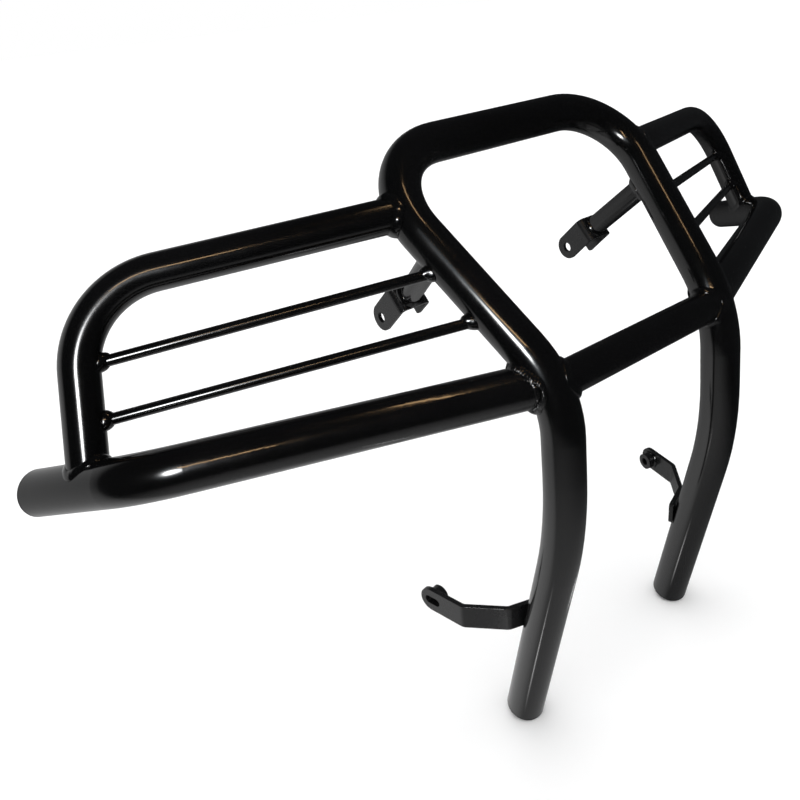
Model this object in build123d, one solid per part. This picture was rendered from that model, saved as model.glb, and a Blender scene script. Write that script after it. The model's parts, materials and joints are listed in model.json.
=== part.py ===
"""Front brush guard for a small off-road vehicle: bent and welded round steel tube.

Everything is in millimetres, in the position it has on the vehicle: +Z is up, the front
faces -Y, and X runs across. Left and right are the driver's, so the left half has X > 0.
The guard stands on the ends of its two legs, with its origin on the ground under the
middle of its bounding box. Corner points give tube centre lines before bending, for the
left half, with Y measured back from the hoop's knee and Z up from the leg ends.
"""
import os

from build123d import *

# Round stock
MAIN_OD = 38.1
MAIN_WALL = 2.4
LOOP_OD = 31.75
LOOP_WALL = 2.1
STAY_OD = 22.2
STAY_WALL = 1.7
ROD_OD = 9.5

# Centre hoop, one bent tube: leg end, lower bend, waist bend at the rail, upper corner
LEG_END = Vector(121.6, 66.4, 20.6)
LEG_BEND = Vector(115.5, 0.0, 266.9)
WAIST = Vector(112.6, 0.0, 404.7)
HOOP_CORNER = Vector(166.9, 179.6, 588.9)
LEG_BEND_RADIUS = 400.0
WAIST_RADIUS = 106.0
HOOP_RADIUS = 70.0

# Cross member, between the two waist bends
CROSS_END = Vector(110.7, 8.0, 406.6)

# Side rail: root at the waist, corner where it turns back, open end
RAIL_ROOT = Vector(114.0, 14.7, 406.6)
RAIL_CORNER = Vector(418.8, 128.9, 410.6)
RAIL_END = Vector(471.1, 232.4, 377.0)
RAIL_RADIUS = 75.0

# Headlight loop: from the hoop out to its corner, then down to the rail's swept end
LOOP_CORNER = Vector(409.3, 226.9, 531.6)
LOOP_HOOP_FRACTION = 0.763
LOOP_RAIL_FRACTION = 0.478
LOOP_RADIUS = 73.7

# Guard rods, placed as fractions of the sloping hoop side (waist to corner) and of the
# loop's falling side (rail to corner)
ROD_FRACTIONS = {"upper": (0.516, 0.602), "lower": (0.309, 0.303)}

# Upper stay and its channel-shaped bracket
STAY_HOOP_FRACTION = 0.59
BRACKET_CENTRE = Vector(131.6, 173.3, 455.2)
BRACKET_AXIS = Vector(0.0, 0.74, -0.673)
BRACKET_SPAN = 35.0
BRACKET_WIDTH = 27.0
BRACKET_THICKNESS = 4.0
BRACKET_LONG_LEG = 52.0
BRACKET_SHORT_LEG = {"left": 43.0, "right": 28.0}
BRACKET_BEND_RADIUS = 5.0
BRACKET_CORNER = 3.0
UPPER_HOLE_D = 10.5

# Lower strap, a flat bar bent twice. Its route is measured from the leg's centre line:
# outwards across the vehicle, then backwards.
STRAP_HEIGHT = 141.4
STRAP_RISE = 0.052
STRAP_ROUTE = [(-15.4, 17.6), (18.8, 29.3), (49.1, 61.9), (60.0, 113.3)]
SLOT_TO_TIP = 15.0
STRAP_WIDTH = 26.0
STRAP_THICKNESS = 5.0
STRAP_BEND_RADIUS = 9.0
STRAP_CORNER = 4.0
SLOT_LENGTH = 18.0
SLOT_WIDTH = 9.0
BOSS_OD = 19.0
BOSS_LENGTH = 9.0
BOSS_BORE = 9.0

# Plastic plugs in the four open tube ends
PLUG_HEAD = 2.6
PLUG_HEAD_FILLET = 1.8
PLUG_DEPTH = 16.0
PLUG_CLEARANCE = 0.2
PLUG_WALL = 2.0

# Edges of the flat-bar pieces
EDGE_FILLET = 0.6
EDGE_MIN = 5.5


def flipped(point):
    """The same point on the other side of the vehicle's centre plane."""
    return Vector(-point.X, point.Y, point.Z)


def between(start, end, fraction):
    return start + (end - start) * fraction


def bent_bar(points, radii, diameter):
    """A solid round bar along straight runs joined by tangent bends."""
    if radii:
        path = FilletPolyline(*points, radius=radii)
    else:
        path = Line(points[0], points[-1])
    start = Plane(origin=points[0], z_dir=points[1] - points[0])
    return sweep(start * Circle(diameter / 2), path=path)


def bent_tube(points, radii, diameter, wall, meets=()):
    """A round tube, its ends coped to the outside of the bars it meets."""
    tube = bent_bar(points, radii, diameter) - bent_bar(points, radii, diameter - 2 * wall)
    for bar in meets:
        tube = tube - bar
    return largest_solid(tube)


def largest_solid(shape):
    """The main body of a coped piece, without the offcuts inside the mating tube."""
    return max(shape.solids(), key=lambda solid: solid.volume)


def end_plug(tube_end, outward, diameter, wall):
    """A push-in plug: a low domed head over the tube's end and a hollow skirt inside it."""
    bore = diameter - 2 * wall - PLUG_CLEARANCE
    head = Cylinder(diameter / 2, PLUG_HEAD, align=(Align.CENTER, Align.CENTER, Align.MIN))
    head = fillet(head.edges().sort_by(Axis.Z)[-1], PLUG_HEAD_FILLET)
    skirt = Cylinder(bore / 2, PLUG_DEPTH, align=(Align.CENTER, Align.CENTER, Align.MAX))
    hollow = Cylinder(bore / 2 - PLUG_WALL, PLUG_DEPTH, align=(Align.CENTER, Align.CENTER, Align.MAX))
    plug = head + (skirt - hollow)
    return Plane(origin=tube_end, z_dir=outward).location * plug


def round_tip(bar, tip, radius):
    """Round the two corners of a flat bar's end face, whose middle is at tip."""
    return fillet(bar.edges().sort_by_distance(tip)[2:4], radius)


def break_edges(piece):
    """Round over the long sharp edges of a piece cut from flat bar."""
    return fillet(piece.edges().filter_by(lambda edge: edge.length > EDGE_MIN), EDGE_FILLET)


def stay_bracket(short_leg):
    """A channel bent from flat bar: a long leg with a bolt hole and a short return leg.

    Local Z is the stay's direction, with the web's stay side at Z = 0 and the long leg
    on the -X side.
    """
    mid = BRACKET_THICKNESS / 2
    reach = BRACKET_SPAN / 2 - mid
    corners = [(-reach, BRACKET_LONG_LEG), (-reach, mid), (reach, mid), (reach, short_leg)]
    profile = trace(FilletPolyline(*corners, radius=BRACKET_BEND_RADIUS), BRACKET_THICKNESS)
    bracket = extrude(Plane.XZ * profile, BRACKET_WIDTH / 2, both=True)
    bracket = round_tip(bracket, Vector(-reach, 0, BRACKET_LONG_LEG), BRACKET_WIDTH / 2 - 0.1)
    bracket = round_tip(bracket, Vector(reach, 0, short_leg), BRACKET_CORNER)
    bracket = break_edges(bracket)
    hole = Pos(-reach, 0, BRACKET_LONG_LEG - BRACKET_WIDTH / 2) * Rot(0, 90, 0)
    return bracket - hole * Cylinder(UPPER_HOLE_D / 2, 2 * BRACKET_THICKNESS)


def strap_frame():
    """The lower strap's working plane: X outwards, Y along the strap's run backwards."""
    fraction = (LEG_BEND.Z - STRAP_HEIGHT) / (LEG_BEND.Z - LEG_END.Z)
    on_leg = between(LEG_BEND, LEG_END, fraction)
    return Plane(origin=on_leg, x_dir=(1, 0, 0), z_dir=(0, -STRAP_RISE, 1))


def strap_tip_frame():
    """The slot's plane: origin at its centre, X along the strap's end, Z outwards."""
    tip = Vector(*STRAP_ROUTE[-1])
    along = (tip - Vector(*STRAP_ROUTE[-2])).normalized()
    outwards = Vector(along.Y, -along.X)
    return Plane(origin=tip - along * SLOT_TO_TIP, x_dir=along, z_dir=outwards)


def lower_strap():
    """The left strap: two bends, a round end and a slot along the bar."""
    route = FilletPolyline(*STRAP_ROUTE, radius=STRAP_BEND_RADIUS)
    bar = extrude(trace(route, STRAP_THICKNESS), STRAP_WIDTH / 2, both=True)
    bar = round_tip(bar, Vector(*STRAP_ROUTE[-1]), STRAP_WIDTH / 2 - 0.1)
    bar = round_tip(bar, Vector(*STRAP_ROUTE[0]), STRAP_CORNER)
    bar = break_edges(bar)
    slot = extrude(SlotOverall(SLOT_LENGTH, SLOT_WIDTH), 2 * STRAP_THICKNESS, both=True)
    return bar - strap_tip_frame().location * slot


def strap_boss():
    """The left spacer boss on the inner face of the strap's end, over the slot."""
    ring = Cylinder(BOSS_OD / 2, BOSS_LENGTH) - Cylinder(BOSS_BORE / 2, BOSS_LENGTH)
    inboard = -(STRAP_THICKNESS + BOSS_LENGTH) / 2
    return strap_tip_frame().location * (Pos(0, 0, inboard) * ring)


def build_nodes():
    """Every piece of the guard, by node name."""
    hoop_half = [LEG_END, LEG_BEND, WAIST, HOOP_CORNER]
    hoop_points = hoop_half + [flipped(p) for p in reversed(hoop_half)]
    half_radii = [LEG_BEND_RADIUS, WAIST_RADIUS, HOOP_RADIUS]
    hoop_radii = half_radii + half_radii[::-1]
    hoop_bar = bent_bar(hoop_points, hoop_radii, MAIN_OD)
    nodes = {"center_hoop": bent_tube(hoop_points, hoop_radii, MAIN_OD, MAIN_WALL)}

    rail_points = [RAIL_ROOT, RAIL_CORNER, RAIL_END]
    rail_bar = bent_bar(rail_points, [RAIL_RADIUS], MAIN_OD)
    loop_foot = between(RAIL_CORNER, RAIL_END, LOOP_RAIL_FRACTION)
    loop_points = [between(WAIST, HOOP_CORNER, LOOP_HOOP_FRACTION), LOOP_CORNER, loop_foot]
    loop_bar = bent_bar(loop_points, [LOOP_RADIUS], LOOP_OD)

    left = {}
    left["side_rail"] = bent_tube(rail_points, [RAIL_RADIUS], MAIN_OD, MAIN_WALL, [hoop_bar])
    left["headlight_loop"] = bent_tube(
        loop_points, [LOOP_RADIUS], LOOP_OD, LOOP_WALL, [hoop_bar, rail_bar]
    )
    for level, (at_hoop, at_loop) in ROD_FRACTIONS.items():
        root = between(WAIST, HOOP_CORNER, at_hoop)
        tip = between(loop_foot, LOOP_CORNER, at_loop)
        rod = bent_bar([root, tip], [], ROD_OD) - hoop_bar - loop_bar
        left["guard_rod_" + level] = largest_solid(rod)

    stay_root = between(WAIST, HOOP_CORNER, STAY_HOOP_FRACTION)
    web_face = Plane(origin=BRACKET_CENTRE, x_dir=(1, 0, 0), z_dir=BRACKET_AXIS)
    stay_end = BRACKET_CENTRE + (BRACKET_CENTRE - stay_root).normalized() * STAY_OD
    beyond_web = web_face.location * Pos(0, 0, STAY_OD) * Box(4 * STAY_OD, 4 * STAY_OD, 2 * STAY_OD)
    left["stay_tube"] = bent_tube(
        [stay_root, stay_end], [], STAY_OD, STAY_WALL, [hoop_bar, beyond_web]
    )

    strap_place = strap_frame().location
    leg_bar = bent_bar([LEG_BEND, LEG_END], [], MAIN_OD)
    left["lower_strap"] = strap_place * lower_strap() - leg_bar
    left["strap_boss"] = strap_place * strap_boss()

    left["rail_end_plug"] = end_plug(RAIL_END, RAIL_END - RAIL_CORNER, MAIN_OD, MAIN_WALL)
    left["leg_end_plug"] = end_plug(LEG_END, LEG_END - LEG_BEND, MAIN_OD, MAIN_WALL)

    for name, piece in left.items():
        nodes[name + "_left"] = piece
        nodes[name + "_right"] = mirror(piece, Plane.YZ)

    # Both channel brackets are the same way round, so they are placed, not mirrored
    for side, sign in (("left", 1), ("right", -1)):
        centre = Vector(sign * BRACKET_CENTRE.X, BRACKET_CENTRE.Y, BRACKET_CENTRE.Z)
        place = Plane(origin=centre, x_dir=(1, 0, 0), z_dir=BRACKET_AXIS).location
        nodes["stay_bracket_" + side] = place * stay_bracket(BRACKET_SHORT_LEG[side])

    nodes["cross_member"] = bent_tube(
        [CROSS_END, flipped(CROSS_END)], [], LOOP_OD, LOOP_WALL, [hoop_bar]
    )
    return nodes


nodes = build_nodes()
box = Compound(children=[Compound(piece.solids()) for piece in nodes.values()]).bounding_box()
to_ground = Pos(0, -box.center().Y, -box.min.Z)
print("moved by", to_ground.position, "size", box.size)

os.makedirs("parts", exist_ok=True)
for name, piece in nodes.items():
    export_step(to_ground * piece, f"parts/{name}.step")
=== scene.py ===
import json
import math

import bmesh
import bpy
import numpy as np
from mathutils import Matrix, Vector, noise
from mathutils.bvhtree import BVHTree


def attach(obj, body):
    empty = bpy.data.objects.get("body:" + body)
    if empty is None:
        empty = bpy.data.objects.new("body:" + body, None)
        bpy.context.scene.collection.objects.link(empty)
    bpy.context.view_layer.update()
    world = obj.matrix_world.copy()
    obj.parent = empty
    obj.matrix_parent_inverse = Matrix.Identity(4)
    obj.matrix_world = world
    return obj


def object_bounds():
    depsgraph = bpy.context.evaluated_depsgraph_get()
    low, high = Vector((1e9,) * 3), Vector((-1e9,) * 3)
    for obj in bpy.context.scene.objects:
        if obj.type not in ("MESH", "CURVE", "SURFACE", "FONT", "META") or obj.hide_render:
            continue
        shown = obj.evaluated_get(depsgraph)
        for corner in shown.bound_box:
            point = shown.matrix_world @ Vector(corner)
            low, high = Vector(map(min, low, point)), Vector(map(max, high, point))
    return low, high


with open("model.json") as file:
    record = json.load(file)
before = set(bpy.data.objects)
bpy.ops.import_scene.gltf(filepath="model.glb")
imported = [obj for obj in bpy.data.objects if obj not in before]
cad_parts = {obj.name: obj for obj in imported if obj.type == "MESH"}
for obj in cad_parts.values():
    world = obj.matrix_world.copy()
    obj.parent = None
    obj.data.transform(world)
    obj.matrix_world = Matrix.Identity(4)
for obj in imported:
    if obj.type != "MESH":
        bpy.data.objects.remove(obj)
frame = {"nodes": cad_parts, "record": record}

NODES = frame["nodes"]
CAD_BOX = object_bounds()
MIDDLE = (Vector(CAD_BOX[0]) + Vector(CAD_BOX[1])) / 2
UP = Vector((0, 0, 1))
SIDES = ("left", "right")

# Weld fillets, as (reach up the branch, spread over the tube it stands on)
RAIL_FILLET = (0.0062, 0.0058)
CROSS_FILLET = (0.0050, 0.0048)
LOOP_FILLET = (0.0058, 0.0052)
FOOT_FILLET = (0.0040, 0.0040)
ROD_FILLET = (0.0064, 0.0034)
STAY_FILLET = (0.0045, 0.0038)
BOSS_FILLET = (0.0020, 0.0022)
TOE_DEPTH = 0.00012       # a fillet's toes end this far under the tubes' surfaces
ROOT_DEPTH = 0.0005       # and its root lies this far behind the seam
FACE_STEPS = 7

# Round beads beside the root of each strap
BEAD_RADIUS = 0.0030
BEAD_SIDES = 12
BEAD_END = 0.2            # a bead's least radius at its ends, as a share of its full radius

# How uneven the welds are: the _NOISE values are the scales of the noise that varies them
WELD_STEP = 0.0007
LUMPS = 0.30
REACH_NOISE = 130.0
SPREAD_NOISE = 150.0
SPREAD_SEED = Vector((7, 0, 0))
CROWN = 0.10              # the height of a fillet's crown over its chord
CROWN_NOISE = 120.0
CROWN_CHANGE = 1.2
RIPPLE_PITCH = 0.0042
RIPPLE_SHARE = 0.004

# Finding the seams on the CAD meshes
SAME_CORNER = 1e-6
ON_SURFACE = 0.0003
SHARP = math.radians(60)
SEAM_PASSES = 9
LEAST_RING = 24
PROBE = 0.003
PROBE_LEAN = 0.5
STRAP_CONTACT = 0.0012
EDGE_BAND = 0.002


# ---------------------------------------------------------------- materials

MOTTLE_SCALE = 9.0
SMUDGE_SCALE = 38.0
SMUDGE_SPREAD = (0.8, 1.35)
PEEL_SCALE = 260.0
PEEL_DEPTH = 0.0004


def object_noise(tree, scale, detail, rough=0.5):
    """The value of a noise texture that is fixed to the object."""
    place = tree.nodes.new("ShaderNodeTexCoord")
    node = tree.nodes.new("ShaderNodeTexNoise")
    node.inputs["Scale"].default_value = scale
    node.inputs["Detail"].default_value = detail
    node.inputs["Roughness"].default_value = rough
    tree.links.new(place.outputs["Object"], node.inputs["Vector"])
    return node.outputs["Fac"]


def two_tone(tree, value, dark, light, stops=(0.0, 1.0)):
    """A colour that runs from dark to light as value runs from one stop to the other."""
    node = tree.nodes.new("ShaderNodeValToRGB")
    for element, stop, color in zip(node.color_ramp.elements, stops, (dark, light)):
        element.position = stop
        element.color = (*color, 1)
    tree.links.new(value, node.inputs["Fac"])
    return node.outputs["Color"]


def spread(tree, value, stops, ends):
    """Value between the stops, stretched to run between the ends."""
    node = tree.nodes.new("ShaderNodeMapRange")
    node.inputs["From Min"].default_value, node.inputs["From Max"].default_value = stops
    node.inputs["To Min"].default_value, node.inputs["To Max"].default_value = ends
    tree.links.new(value, node.inputs["Value"])
    return node.outputs["Result"]


def coat_material(name, color, roughness, peel, coat_weight, coat_roughness, mottle):
    """Powder coat over steel: near-black colour with faint mottling, and orange peel as a
    fine swell that bends the reflections."""
    material = bpy.data.materials.new(name)
    material.use_nodes = True
    tree = material.node_tree
    shader = tree.nodes["Principled BSDF"]
    shader.inputs["Coat Weight"].default_value = coat_weight
    shader.inputs["Coat Roughness"].default_value = coat_roughness

    dark, light = ([c * (1 + change) for c in color] for change in (-mottle, mottle))
    cloud = object_noise(tree, MOTTLE_SCALE, detail=3.0)
    tone = two_tone(tree, cloud, dark, light, stops=(0.35, 0.7))
    tree.links.new(tone, shader.inputs["Base Color"])

    smudge = object_noise(tree, SMUDGE_SCALE, detail=5.0, rough=0.6)
    ends = [roughness * factor for factor in SMUDGE_SPREAD]
    rough = spread(tree, smudge, stops=(0.3, 0.75), ends=ends)
    tree.links.new(rough, shader.inputs["Roughness"])

    bump = tree.nodes.new("ShaderNodeBump")
    bump.inputs["Strength"].default_value = peel
    bump.inputs["Distance"].default_value = PEEL_DEPTH
    swell = object_noise(tree, PEEL_SCALE, detail=2.0)
    tree.links.new(swell, bump.inputs["Height"])
    tree.links.new(bump.outputs["Normal"], shader.inputs["Normal"])
    return material


def floor_material():
    """Plain white studio paper with the faintest cloud in its tone."""
    material = bpy.data.materials.new("studio_floor")
    material.use_nodes = True
    tree = material.node_tree
    shader = tree.nodes["Principled BSDF"]
    shader.inputs["Roughness"].default_value = 0.9
    shader.inputs["Specular IOR Level"].default_value = 0.1
    cloud = tree.nodes.new("ShaderNodeTexNoise")
    cloud.inputs["Scale"].default_value = 1.5
    tone = two_tone(tree, cloud.outputs["Fac"], (0.93, 0.93, 0.93), (0.96, 0.96, 0.96))
    tree.links.new(tone, shader.inputs["Base Color"])
    return material


GLOSS = coat_material(
    "gloss_black_coat", (0.002, 0.002, 0.0022), roughness=0.16, peel=0.03,
    coat_weight=0.6, coat_roughness=0.03, mottle=0.35)
WELD = coat_material(
    "weld_black_coat", (0.0022, 0.0022, 0.0024), roughness=0.14, peel=0.12,
    coat_weight=0.6, coat_roughness=0.04, mottle=0.35)
SATIN = coat_material(
    "semi_gloss_black_coat", (0.008, 0.008, 0.0085), roughness=0.26, peel=0.06,
    coat_weight=0.3, coat_roughness=0.10, mottle=0.3)
PLASTIC = coat_material(
    "black_plug_plastic", (0.014, 0.014, 0.015), roughness=0.42, peel=0.05,
    coat_weight=0.0, coat_roughness=0.2, mottle=0.25)
FINISHES = {"tube_coat": GLOSS, "bracket_coat": SATIN, "plug_plastic": PLASTIC}


def paint_nodes():
    """Gives every CAD node the finish of its material slot."""
    for entry in frame["record"]["subparts"]:
        data = NODES[entry["node"]].data
        data.materials.clear()
        data.materials.append(FINISHES[entry["material_slot"]])


# ---------------------------------------------------------------- seams

def surface_tree(node):
    return BVHTree.FromObject(NODES[node], bpy.context.evaluated_depsgraph_get())


def seam_points(branch, target, half):
    """The corners of branch's end edge that lie on target, on the half with this sign."""
    tree = surface_tree(target)
    mesh = bmesh.new()
    mesh.from_mesh(NODES[branch].data)
    bmesh.ops.remove_doubles(mesh, verts=mesh.verts, dist=SAME_CORNER)
    on_half = [v for v in mesh.verts if v.co.x * half > 0]
    on_target = {v for v in on_half if (tree.find_nearest(v.co)[3] or 0) < ON_SURFACE}
    seam = [edge for edge in mesh.edges if is_seam(edge, on_target)]
    points = np.array([v.co[:] for v in longest_chain(seam)])
    mesh.free()
    return points


def is_seam(edge, on_target):
    """Whether the edge bounds the end face that lies on the other tube."""
    if len(edge.link_faces) != 2 or not all(v in on_target for v in edge.verts):
        return False
    capped = sum(all(v in on_target for v in face.verts) for face in edge.link_faces)
    return capped == 1 or edge.calc_face_angle(0) > SHARP


def longest_chain(edges):
    """The corners of the connected run of edges with the greatest length."""
    pool = set(edges)
    best, best_length = [], 0.0
    while pool:
        start = pool.pop()
        run, corners, length = [start], set(start.verts), start.calc_length()
        while run:
            for corner in run.pop().verts:
                for other in pool.intersection(corner.link_edges):
                    pool.discard(other)
                    run.append(other)
                    corners.update(other.verts)
                    length += other.calc_length()
        if length > best_length:
            best, best_length = corners, length
    return sorted(best, key=lambda v: v.index)


def averaged(rows):
    """Rows round a closed ring, averaged with their neighbours."""
    for _ in range(SEAM_PASSES):
        rows = (np.roll(rows, 1, 0) + 2 * rows + np.roll(rows, -1, 0)) / 4
    return rows


def ring_path(points):
    """Evenly spaced points round a closed seam, from its unordered corners."""
    centre = points.mean(0)
    _, _, basis = np.linalg.svd(points - centre)
    flat = (points - centre) @ basis[:2].T
    loop = points[np.argsort(np.arctan2(flat[:, 1], flat[:, 0]))]
    closed = np.vstack([loop, loop[:1]])
    run = np.concatenate([[0], np.cumsum(np.linalg.norm(np.diff(closed, axis=0), axis=1))])
    count = max(LEAST_RING, int(run[-1] / WELD_STEP))
    places = np.linspace(0, run[-1], count, endpoint=False)
    return averaged(np.stack([np.interp(places, run, closed[:, axis]) for axis in range(3)], 1))


def seam_normals(path, branch_tree, target_tree):
    """The two surfaces' outward normals at each point round a seam."""
    centre = path.mean(0)
    on_branch, on_target = [], []
    for point in path:
        normal = target_tree.find_nearest(Vector(point))[1]
        away = Vector(point - centre).normalized()
        probe = Vector(point) + (normal + away * PROBE_LEAN) * PROBE
        on_branch.append(branch_tree.find_nearest(probe)[1][:])
        on_target.append(normal[:])
    rows = averaged(np.array(on_branch)), averaged(np.array(on_target))
    return [each / np.linalg.norm(each, axis=1)[:, None] for each in rows]


# ---------------------------------------------------------------- weld beads

def lump(here, scale, seed=Vector()):
    """A factor near 1 that wanders with the place."""
    return 1 + LUMPS * noise.noise(here * scale + seed)


def sunk_point(tree, point):
    """The place on a surface nearest to point, a hair under it."""
    place, normal, _, _ = tree.find_nearest(point)
    return place - normal * TOE_DEPTH


def facing(direction, outward):
    """Direction at unit length, turned round if it points away from outward."""
    return (direction if direction.dot(outward) > 0 else -direction).normalized()


def fillet_section(here, run, outs, trees, fillet, ripple):
    """The closed outline of a fillet across the seam, which goes along run at here."""
    (branch_out, target_out), (branch_tree, target_tree), (reach, width) = outs, trees, fillet
    up = facing(run.cross(branch_out), target_out)
    across = facing(run.cross(target_out), branch_out)
    reach *= lump(here, REACH_NOISE)
    width *= lump(here, SPREAD_NOISE, SPREAD_SEED)
    toe_up = sunk_point(branch_tree, here + up * reach)
    toe_out = sunk_point(target_tree, here + across * width)
    outward = (branch_out + target_out).normalized()
    change = 1 + CROWN_CHANGE * noise.noise(here * CROWN_NOISE)
    crown = (toe_out - toe_up).length * (CROWN * change + ripple)
    section = []
    for step in range(FACE_STEPS + 1):
        share = step / FACE_STEPS
        section.append(toe_up.lerp(toe_out, share) + outward * crown * 4 * share * (1 - share))
    section.append(here - outward * ROOT_DEPTH)
    return section


def ring_weld(side, branch, target, fillet):
    """A coated weld fillet all round the end of branch, where it stands on target."""
    path = ring_path(seam_points(branch, target, 1 if side == "left" else -1))
    trees = surface_tree(branch), surface_tree(target)
    on_branch, on_target = seam_normals(path, *trees)
    sections = []
    for index, point in enumerate(path):
        run = (Vector(path[(index + 1) % len(path)]) - Vector(path[index - 1])).normalized()
        outs = Vector(on_branch[index]), Vector(on_target[index])
        ripple = RIPPLE_SHARE * math.sin(2 * math.pi * index * WELD_STEP / RIPPLE_PITCH)
        sections.append(fillet_section(Vector(point), run, outs, trees, fillet, ripple))
    weld_piece(f"weld_{branch}_{target}_{side[0]}", sections, closed=True)


def strap_edges(strap, leg):
    """The lines up each side of the strap's root on the leg, as (label, foot, head)."""
    tree = surface_tree(leg)
    corners = np.array([v.co[:] for v in NODES[strap].data.vertices])
    gaps = np.array([tree.find_nearest(Vector(corner))[3] for corner in corners])
    patch = corners[gaps < STRAP_CONTACT]
    for label, pick in (("inner", np.argmin), ("outer", np.argmax)):
        edge_x = patch[pick(np.abs(patch[:, 0])), 0]
        line = patch[np.abs(patch[:, 0] - edge_x) < EDGE_BAND]
        yield label, Vector(line[np.argmin(line[:, 2])]), Vector(line[np.argmax(line[:, 2])])


def strap_weld(name, foot, head):
    """A round bead from foot to head, rounded off at both ends."""
    count = max(8, int((head - foot).length / WELD_STEP))
    turns = [2 * math.pi * step / BEAD_SIDES for step in range(BEAD_SIDES)]
    sections = []
    for index in range(count + 1):
        here = foot.lerp(head, index / count)
        inside = min(1.0, min(index, count - index) * WELD_STEP / BEAD_RADIUS)
        radius = BEAD_RADIUS * max(BEAD_END, math.sqrt(1 - (1 - inside) ** 2))
        radius *= lump(here, SPREAD_NOISE)
        sections.append([here + Vector((math.cos(a), math.sin(a), 0)) * radius for a in turns])
    weld_piece(name, sections, closed=False)


def weld_piece(name, sections, closed):
    """The skin over a row of weld sections, which is a ring or has capped ends."""
    mesh = bmesh.new()
    rings = [[mesh.verts.new(corner) for corner in section] for section in sections]
    count, sides = len(rings), len(rings[0])
    for index in range(count if closed else count - 1):
        ring, following = rings[index], rings[(index + 1) % count]
        for step in range(sides):
            after = (step + 1) % sides
            mesh.faces.new((ring[step], ring[after], following[after], following[step]))
    if not closed:
        mesh.faces.new(list(reversed(rings[0])))
        mesh.faces.new(rings[-1])
    bmesh.ops.recalc_face_normals(mesh, faces=mesh.faces)
    data = bpy.data.meshes.new(name)
    mesh.to_mesh(data)
    mesh.free()
    data.shade_smooth()
    data.materials.append(WELD)
    piece = bpy.data.objects.new(name, data)
    bpy.context.scene.collection.objects.link(piece)
    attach(piece, "root")


def make_welds():
    for side in SIDES:
        rail, loop, strap = f"side_rail_{side}", f"headlight_loop_{side}", f"lower_strap_{side}"
        ring_weld(side, "cross_member", "center_hoop", CROSS_FILLET)
        ring_weld(side, rail, "center_hoop", RAIL_FILLET)
        ring_weld(side, loop, "center_hoop", LOOP_FILLET)
        ring_weld(side, loop, rail, FOOT_FILLET)
        for level in ("upper", "lower"):
            rod = f"guard_rod_{level}_{side}"
            ring_weld(side, rod, "center_hoop", ROD_FILLET)
            ring_weld(side, rod, loop, ROD_FILLET)
        ring_weld(side, f"stay_tube_{side}", "center_hoop", STAY_FILLET)
        ring_weld(side, f"stay_tube_{side}", f"stay_bracket_{side}", STAY_FILLET)
        ring_weld(side, f"strap_boss_{side}", strap, BOSS_FILLET)
        for label, foot, head in strap_edges(strap, "center_hoop"):
            strap_weld(f"weld_{strap}_{label}", foot, head)


# ---------------------------------------------------------------- studio

PALE = (0.80, 0.92, 1.00)
WARM = (1.00, 0.64, 0.32)
WHITE = (1.0, 1.0, 1.0)

# The camera stands front right of the guard, above its hoop, and rolls a little
CAMERA_AT = Vector((-0.54088, -0.53261, 0.70592))
CAMERA_LOOK = Vector((0.5584, 0.7531, -0.3478))
CAMERA_UP = Vector((0.2922, 0.2138, 0.9321))
CAMERA_LENS = 36.45
CAMERA_SHIFT = (-0.0455, -0.1326)


def add_camera():
    data = bpy.data.cameras.new("camera")
    data.lens = CAMERA_LENS
    data.sensor_width = 36.0
    data.shift_x, data.shift_y = CAMERA_SHIFT
    data.clip_start = 0.01
    data.clip_end = 100.0
    camera = bpy.data.objects.new("camera", data)
    back = -CAMERA_LOOK.normalized()
    right = CAMERA_UP.cross(back).normalized()
    turn = Matrix((right, back.cross(right), back)).transposed()
    camera.matrix_world = Matrix.Translation(CAMERA_AT) @ turn.to_4x4()
    bpy.context.scene.collection.objects.link(camera)
    bpy.context.scene.camera = camera


def add_panel(name, at, towards, size, radiance, color=WHITE):
    """A rectangular lamp that shows only in the gloss, with its brightness as radiance."""
    data = bpy.data.lights.new(name, "AREA")
    data.shape = "RECTANGLE"
    data.size, data.size_y = size
    data.energy = math.pi * radiance * size[0] * size[1]
    data.color = color
    lamp = bpy.data.objects.new(name, data)
    lamp.location = at
    lamp.rotation_euler = (Vector(towards) - Vector(at)).to_track_quat("-Z", "Y").to_euler()
    lamp.visible_camera = False
    lamp.visible_diffuse = False
    bpy.context.scene.collection.objects.link(lamp)
    return lamp


def soften(lamp, plateau):
    """Fades a panel out towards its rim, from full brightness at the plateau's radius."""
    lamp.data.use_nodes = True
    tree = lamp.data.node_tree
    place = tree.nodes.new("ShaderNodeNewGeometry")
    centred = tree.nodes.new("ShaderNodeVectorMath")
    centred.operation = "SUBTRACT"
    centred.inputs[1].default_value = (0.5, 0.5, 0)
    radius = tree.nodes.new("ShaderNodeVectorMath")
    radius.operation = "LENGTH"
    tree.links.new(place.outputs["Parametric"], centred.inputs[0])
    tree.links.new(centred.outputs["Vector"], radius.inputs[0])
    fade = spread(tree, radius.outputs["Value"], (plateau, 0.5), (1.0, 0.0))
    fade.node.interpolation_type = "SMOOTHSTEP"
    tree.links.new(fade, tree.nodes["Emission"].inputs["Strength"])


def add_floor():
    half = 30.0
    mesh = bpy.data.meshes.new("floor")
    corners = [(x * half, y * half, 0) for x, y in ((-1, -1), (1, -1), (1, 1), (-1, 1))]
    mesh.from_pydata(corners, [], [(0, 1, 2, 3)])
    mesh.materials.append(floor_material())
    floor = bpy.data.objects.new("floor", mesh)
    floor.visible_glossy = False
    bpy.context.scene.collection.objects.link(floor)


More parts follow.
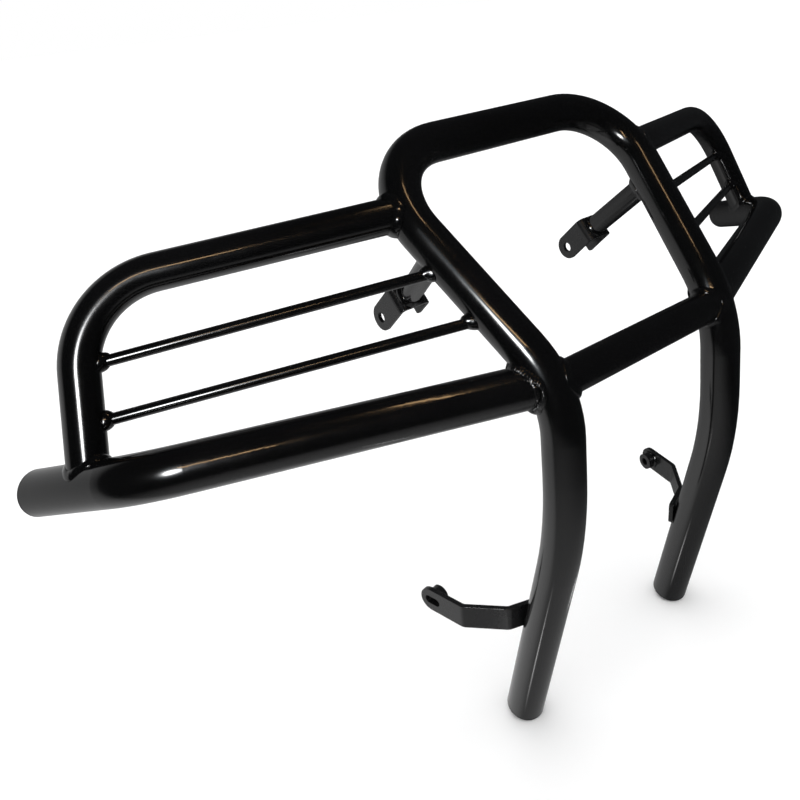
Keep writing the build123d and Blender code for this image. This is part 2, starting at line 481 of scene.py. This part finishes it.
def add_world():
    """White to the camera, dim to everything else, so that black gloss stays black."""
    world = bpy.data.worlds.new("world")
    bpy.context.scene.world = world
    world.use_nodes = True
    tree = world.node_tree
    backdrop = tree.nodes["Background"]
    backdrop.inputs["Color"].default_value = (1, 1, 1, 1)
    backdrop.inputs["Strength"].default_value = 1.0
    room = tree.nodes.new("ShaderNodeBackground")
    room.inputs["Color"].default_value = (0.9, 0.95, 1.0, 1)
    room.inputs["Strength"].default_value = 0.02
    seen = tree.nodes.new("ShaderNodeLightPath")
    blend = tree.nodes.new("ShaderNodeMixShader")
    tree.links.new(seen.outputs["Is Camera Ray"], blend.inputs["Fac"])
    tree.links.new(room.outputs["Background"], blend.inputs[1])
    tree.links.new(backdrop.outputs["Background"], blend.inputs[2])
    tree.links.new(blend.outputs["Shader"], tree.nodes["World Output"].inputs["Surface"])


def add_sky():
    """A very wide sun: an evenly white floor with only faint soft shadows."""
    data = bpy.data.lights.new("sky", "SUN")
    data.energy = 4.1
    data.angle = math.radians(120)
    lamp = bpy.data.objects.new("sky", data)
    lamp.visible_glossy = False
    bpy.context.scene.collection.objects.link(lamp)


def add_sheet():
    """A white sheet close behind the guard and under it, which only the tubes reflect."""
    behind = MIDDLE + Vector((-0.75, 0.45, -0.16))
    tilted = behind + Vector((0, -0.898, 0.441))
    soften(add_panel("sheet_back", behind, tilted, (3.2, 3.0), 0.42), plateau=0.12)
    under = Vector((-0.3, -0.2, 0.002))
    soften(add_panel("sheet_low", under, under + UP, (1.5, 1.5), 0.32), plateau=0.05)


def add_sheet_folds():
    """A bright fold in the sheet beside each leg, which draws a thin line down its lower half."""
    for side, at, length, turn in (
        ("right", Vector((-0.209, -0.107, 0.004)), 0.17, 34),
        ("left", Vector((0.040, -0.086, 0.004)), 0.12, 26),
    ):
        fold = add_panel(f"sheet_fold_{side}", at, at + UP, (length, 0.010), 4.4)
        fold.rotation_euler.z = math.radians(turn)
        soften(fold, plateau=0.05)


def add_flash():
    """A soft lamp beside the camera: the short white flashes, with a pale halo."""
    aim = Vector((-0.2, -0.05, 0.42))
    soften(add_panel("flash", (-0.92, -0.69, 0.81), aim, (0.34, 0.44), 44), plateau=0.08)
    aim = Vector((-0.2, -0.05, 0.45))
    soften(add_panel("halo", (-0.93, -0.72, 0.86), aim, (0.6, 1.1), 1.7, PALE), plateau=0.0)


def add_window():
    """A warm window frame, a bar and a post: the thin amber lines along the tubes."""
    add_panel("warm_bar", (-0.97, -1.285, 1.5), MIDDLE, (0.48, 0.08), 12, WARM)
    add_panel("warm_post", (-0.04, -0.34, 1.45), (-0.04, -0.09, 0.5), (0.05, 0.38), 8, WARM)


# ---------------------------------------------------------------- build

bpy.context.scene.view_settings.view_transform = "Standard"
paint_nodes()
make_welds()
add_floor()
add_world()
add_sky()
add_sheet()
add_sheet_folds()
add_flash()
add_window()
add_camera()
